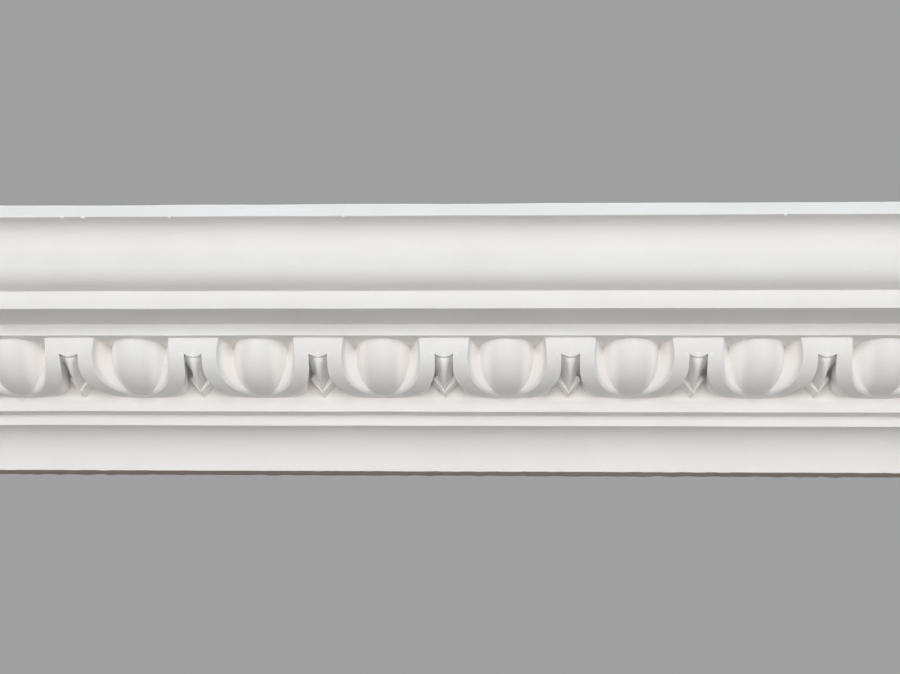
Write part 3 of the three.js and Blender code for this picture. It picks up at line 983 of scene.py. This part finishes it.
move_by_waves(cast.data, finish)
print("moved", len(cast.data.vertices), "points by waves")

# %% [markdown]
# ## Edges, hollows and sheltered places
#
# The cast finish carries painted light by place: recesses behind the ovolo's face and sharp
# hollows are painted whiter and warmer, standing in for the light that bounces into them, and
# sharp edges are painted lighter, a painted highlight that also stands for rubbing. The
# finishes need to know where those places are, so each point stores two numbers. One is 1 on
# a sharp edge, 0 in a sharp hollow and 0.5 where it is flat. The other is 0 on the ovolo's
# face and 1 well behind it on a surface that doesn't look down.

# %% Store edges, hollows and sheltered places
EDGE_NAME = "edge_and_hollow"
SHELTER_NAME = "sheltered"
EDGE_PASSES = 2
SHELTER_START = 2.4
SHELTER_DEPTH = 6.5
SHELTER_FOOT = 0.2
FADE_DOWNWARD = 0.75


def store(mesh, name, values):
    made = mesh.attributes.new(name, "FLOAT", "POINT")
    made.data.foreach_set("value", np.clip(values, 0, 1).astype(np.float32))


def store_edges(mesh):
    """The mean of -normal . direction over the edges of each point, smoothed along edges."""
    points = read_all(mesh.vertices, "co", 3)
    normals = read_all(mesh.vertices, "normal", 3)
    first, second = read_all(mesh.edges, "vertices", 2, np.int32).T
    run = points[second] - points[first]
    run /= np.maximum(1e-9, np.linalg.norm(run, axis=1, keepdims=True))
    ends = np.concatenate([first, second])
    fall = np.concatenate([-(normals[first] * run).sum(1), (normals[second] * run).sum(1)])
    count = len(points)
    degree = np.maximum(1, np.bincount(ends, minlength=count))
    value = np.bincount(ends, fall, minlength=count) / degree
    for _ in range(EDGE_PASSES):
        across = np.concatenate([value[second], value[first]])
        value = (value + np.bincount(ends, across, minlength=count) / degree) / 2
    # This value places the painted bounce light in hollows and the painted highlight on edges.
    store(mesh, EDGE_NAME, 0.5 + value)
    return value


def store_shelter(mesh):
    """The depth behind the ovolo's face at the same height, as a share of a full depth. It
    fades on faces that look down and towards the foot of the fascia, and it is 0 from just
    above the roof up."""
    _, back, up = in_section(read_all(mesh.vertices, "co", 3)).T
    downward = -read_all(mesh.vertices, "normal", 3)[:, 2]
    face_back = np.interp(-up, -face_points[:-1, 1], face_points[:-1, 0])
    depth = between(back - face_back, SHELTER_START, SHELTER_DEPTH)
    in_band = between(up, SHELTER_FOOT - FASCIA_DROP, -OVOLO_HEIGHT) * (up < BURY)
    # This share places the painted bounce light of the cast finish behind the ovolo's face.
    value = depth * in_band * (1 - between(downward, FADE_DOWNWARD, 1))
    store(mesh, SHELTER_NAME, value)
    return value


edge_values = store_edges(cast.data)
shelter_values = store_shelter(cast.data)
print("edge values from", round(edge_values.min(), 2), "to", round(edge_values.max(), 2))
print("sheltered points:", int((shelter_values > 0.5).sum()))

# %% [markdown]
# ## Shader groups for all three finishes
#
# Plaster is a fine, matt mass: its colour drifts by a few hundredths over the width of a
# hand, the grain is finer than sand, and air leaves small pinholes. One group makes the
# drift and the grain, and one makes the pinholes, and each finish uses them at its own
# strength. They read the object's own coordinates, in metres.

# %% Groups for tone, grain and pinholes
DRIFT_SCALE = 22


def start_group(name, takes, gives):
    """A shader node group with these sockets, its input node and its output node."""
    tree = bpy.data.node_groups.new(name, "ShaderNodeTree")
    for socket, kind in takes:
        tree.interface.new_socket(socket, in_out="INPUT", socket_type=kind)
    for socket, kind in gives:
        tree.interface.new_socket(socket, in_out="OUTPUT", socket_type=kind)
    return tree, tree.nodes.new("NodeGroupInput"), tree.nodes.new("NodeGroupOutput")


def add_node(tree, kind, links=(), **values):
    """A node with its named input values set, and its named inputs linked to outputs."""
    node = tree.nodes.new(kind)
    for socket, value in values.items():
        node.inputs[socket.replace("_", " ")].default_value = value
    for socket, output in dict(links).items():
        tree.links.new(output, node.inputs[socket])
    return node


def maths(tree, operation, first, second):
    node = tree.nodes.new("ShaderNodeMath")
    node.operation = operation
    for socket, value in zip(node.inputs, (first, second)):
        if isinstance(value, (int, float)):
            socket.default_value = value
        else:
            tree.links.new(value, socket)
    return node.outputs[0]


def blend_colours(tree, share, first, second):
    node = tree.nodes.new("ShaderNodeMix")
    node.data_type = "RGBA"
    sockets = (node.inputs[0], node.inputs[6], node.inputs[7])
    for socket, value in zip(sockets, (share, first, second)):
        if isinstance(value, (int, float, tuple)):
            socket.default_value = value
        else:
            tree.links.new(value, socket)
    return node.outputs[2]


def tone_group():
    """Drift is a slow noise of hand-width clouds and Grain a fine noise, both from 0 to 1."""
    tree, takes, gives = start_group(
        "plaster_tone",
        [("Place", "NodeSocketVector"), ("Grain Scale", "NodeSocketFloat")],
        [("Drift", "NodeSocketFloat"), ("Grain", "NodeSocketFloat")],
    )
    place = {"Vector": takes.outputs["Place"]}
    slow = add_node(tree, "ShaderNodeTexNoise", place, Scale=DRIFT_SCALE, Detail=3, Roughness=0.55)
    fine_links = {**place, "Scale": takes.outputs["Grain Scale"]}
    fine = add_node(tree, "ShaderNodeTexNoise", fine_links, Detail=4, Roughness=0.6)
    tree.links.new(slow.outputs[0], gives.inputs["Drift"])
    tree.links.new(fine.outputs[0], gives.inputs["Grain"])
    return tree


def pinhole_group():
    """1 in the middle of a pinhole, falling to 0 at its edge. Cells give one hole each, and
    a random number for each cell keeps only the given share of them."""
    tree, takes, gives = start_group(
        "plaster_pinholes",
        [(name, "NodeSocketVector" if name == "Place" else "NodeSocketFloat")
         for name in ("Place", "Cell Scale", "Radius", "Kept")],
        [("Hole", "NodeSocketFloat")],
    )
    links = {"Vector": takes.outputs["Place"], "Scale": takes.outputs["Cell Scale"]}
    cells = add_node(tree, "ShaderNodeTexVoronoi", links)
    nearness = maths(tree, "SUBTRACT", takes.outputs["Radius"], cells.outputs["Distance"])
    deep = maths(tree, "DIVIDE", nearness, takes.outputs["Radius"])
    chosen = maths(tree, "LESS_THAN", cells.outputs["Color"], takes.outputs["Kept"])
    hole = maths(tree, "MULTIPLY", maths(tree, "MAXIMUM", deep, 0), chosen)
    tree.links.new(hole, gives.inputs["Hole"])
    return tree


PLASTER_TONE = tone_group()
PLASTER_PINHOLES = pinhole_group()
print("groups:", PLASTER_TONE.name, PLASTER_PINHOLES.name)

# %% [markdown]
# ## The three finishes
#
# The cast face is close and white, with a few pinholes. Its colour also carries painted
# light: it is painted whiter and warmer in recesses and sharp hollows, standing in for the
# light that bounces into them, and lighter on sharp edges, a painted highlight that also
# stands for rubbing. The ruled faces are grey-brown: they were struck off with scrim and old
# dust in them and never washed. The sawn ends are open white plaster full of cut air holes.
# In the photograph the ruled strip under the cove is the darkest part, so its grey is taken
# there.

# %% Finishes
CAST_LIGHT = (0.80, 0.80, 0.795, 1)
CAST_DARK = (0.77, 0.765, 0.755, 1)
# Painted bounce light: recesses and sharp hollows are painted whiter and warmer than the cast
# face.
SHELTER_PAINTED_LIGHT = (0.97, 0.94, 0.92, 1)
HOLLOW_PAINTED_LIGHT = (0.88, 0.845, 0.81, 1)
# Painted highlight on sharp edges, which also stands for rubbing.
EDGE_HIGHLIGHT_AND_RUB = (0.93, 0.925, 0.915, 1)
RULED_LIGHT = (0.52, 0.465, 0.42, 1)
RULED_DARK = (0.34, 0.3, 0.27, 1)
SAWN_LIGHT = (0.84, 0.825, 0.79, 1)
SAWN_DARK = (0.70, 0.675, 0.63, 1)
HOLE_SHADE = (0.13, 0.115, 0.1, 1)
HOLE_SHARE = 0.6
HOLLOW_LIGHT_RANGE = (0.5, 0.28, 0, 0.8)
EDGE_HIGHLIGHT_RANGE = (0.53, 0.75, 0, 1)
DRIFT_SHARE = 0.7
TONE_RANGE = (0.35, 0.65, 0, 1)
GRAIN_RANGE = (0.3, 0.7)
STREAK_STRETCH = (0.07, 1, 1)


def spread(tree, value, low, high, first, last):
    """Maps a value between low and high to between first and last, held at both ends."""
    node = add_node(
        tree, "ShaderNodeMapRange", {"Value": value},
        From_Min=low, From_Max=high, To_Min=first, To_Max=last,
    )
    return node.outputs[0]


def plaster_finish(name, colours, roughness, grain, holes, bumps, stretch=(1, 1, 1), painted_light_and_rub=False):
    """One finish: two colours blended by the drift, pinholes and grain as shade and relief.
    Grain is its scale, holes are cell scale, radius and kept share, and bumps are the
    heights in metres of the grain and of the holes."""
    material = bpy.data.materials.new(name)
    material.use_nodes = True
    tree = material.node_tree
    shader = tree.nodes["Principled BSDF"]
    place = tree.nodes.new("ShaderNodeTexCoord").outputs["Object"]
    scaled = add_node(tree, "ShaderNodeMapping", {"Vector": place}, Scale=stretch)
    tone = tree.nodes.new("ShaderNodeGroup")
    tone.node_tree = PLASTER_TONE
    tree.links.new(scaled.outputs[0], tone.inputs["Place"])
    tone.inputs["Grain Scale"].default_value = grain
    pits = tree.nodes.new("ShaderNodeGroup")
    pits.node_tree = PLASTER_PINHOLES
    tree.links.new(place, pits.inputs["Place"])
    for socket, value in zip(("Cell Scale", "Radius", "Kept"), holes):
        pits.inputs[socket].default_value = value
    drift, fine = tone.outputs["Drift"], tone.outputs["Grain"]
    slow_part = maths(tree, "MULTIPLY", drift, DRIFT_SHARE)
    fine_part = maths(tree, "MULTIPLY", fine, 1 - DRIFT_SHARE)
    mixed = maths(tree, "ADD", slow_part, fine_part)
    colour = blend_colours(tree, spread(tree, mixed, *TONE_RANGE), *colours)
    if painted_light_and_rub:
        edges, shelter = (tree.nodes.new("ShaderNodeAttribute") for _ in range(2))
        edges.attribute_name, shelter.attribute_name = EDGE_NAME, SHELTER_NAME
        # Painted bounce light: whiter and warmer behind the ovolo's face and in sharp hollows.
        colour = blend_colours(tree, shelter.outputs["Fac"], colour, SHELTER_PAINTED_LIGHT)
        hollow = spread(tree, edges.outputs["Fac"], *HOLLOW_LIGHT_RANGE)
        edge_highlight = spread(tree, edges.outputs["Fac"], *EDGE_HIGHLIGHT_RANGE)
        colour = blend_colours(tree, hollow, colour, HOLLOW_PAINTED_LIGHT)
        # Painted highlight on sharp edges, also standing for rubbing.
        colour = blend_colours(tree, edge_highlight, colour, EDGE_HIGHLIGHT_AND_RUB)
    shaded = maths(tree, "MULTIPLY", pits.outputs["Hole"], HOLE_SHARE)
    colour = blend_colours(tree, shaded, colour, HOLE_SHADE)
    tree.links.new(colour, shader.inputs["Base Color"])
    rough = spread(tree, fine, *GRAIN_RANGE, *roughness)
    tree.links.new(rough, shader.inputs["Roughness"])
    grain_bump = add_node(tree, "ShaderNodeBump", {"Height": fine}, Strength=1, Distance=bumps[0])
    sunk = maths(tree, "SUBTRACT", 1, pits.outputs["Hole"])
    links = {"Height": sunk, "Normal": grain_bump.outputs[0]}
    hole_bump = add_node(tree, "ShaderNodeBump", links, Strength=1, Distance=bumps[1])
    tree.links.new(hole_bump.outputs[0], shader.inputs["Normal"])
    return material


finishes = [
    plaster_finish(
        "cast_plaster", (CAST_LIGHT, CAST_DARK), roughness=(0.62, 0.8), grain=1400,
        holes=(260, 0.12, 0.05), bumps=(0.00003, 0.0003), painted_light_and_rub=True,
    ),
    plaster_finish(
        "ruled_plaster", (RULED_LIGHT, RULED_DARK), roughness=(0.8, 0.95), grain=900,
        holes=(180, 0.3, 0.3), bumps=(0.0004, 0.0006), stretch=STREAK_STRETCH,
    ),
    plaster_finish(
        "sawn_plaster", (SAWN_LIGHT, SAWN_DARK), roughness=(0.8, 0.92), grain=700,
        holes=(330, 0.32, 0.35), bumps=(0.00012, 0.0006),
    ),
]
cast.data.materials.clear()
for material in finishes:
    cast.data.materials.append(material)
cast.data.polygons.foreach_set("material_index", finish)
print("finishes:", [material.name for material in finishes])

# %% Smooth shading that keeps the arrises crisp
SHARP_FACES = math.radians(35)
WEIGHT_OF_LARGE_FACES = 80

cast.data.shade_smooth()
cast.data.set_sharp_from_angle(angle=SHARP_FACES)
weighted = cast.modifiers.new("even_shading", "WEIGHTED_NORMAL")
weighted.keep_sharp = True
weighted.weight = WEIGHT_OF_LARGE_FACES
print("modifiers left on the cast:", [modifier.name for modifier in cast.modifiers])

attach(cast, "root")
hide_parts("cornice_moulding")
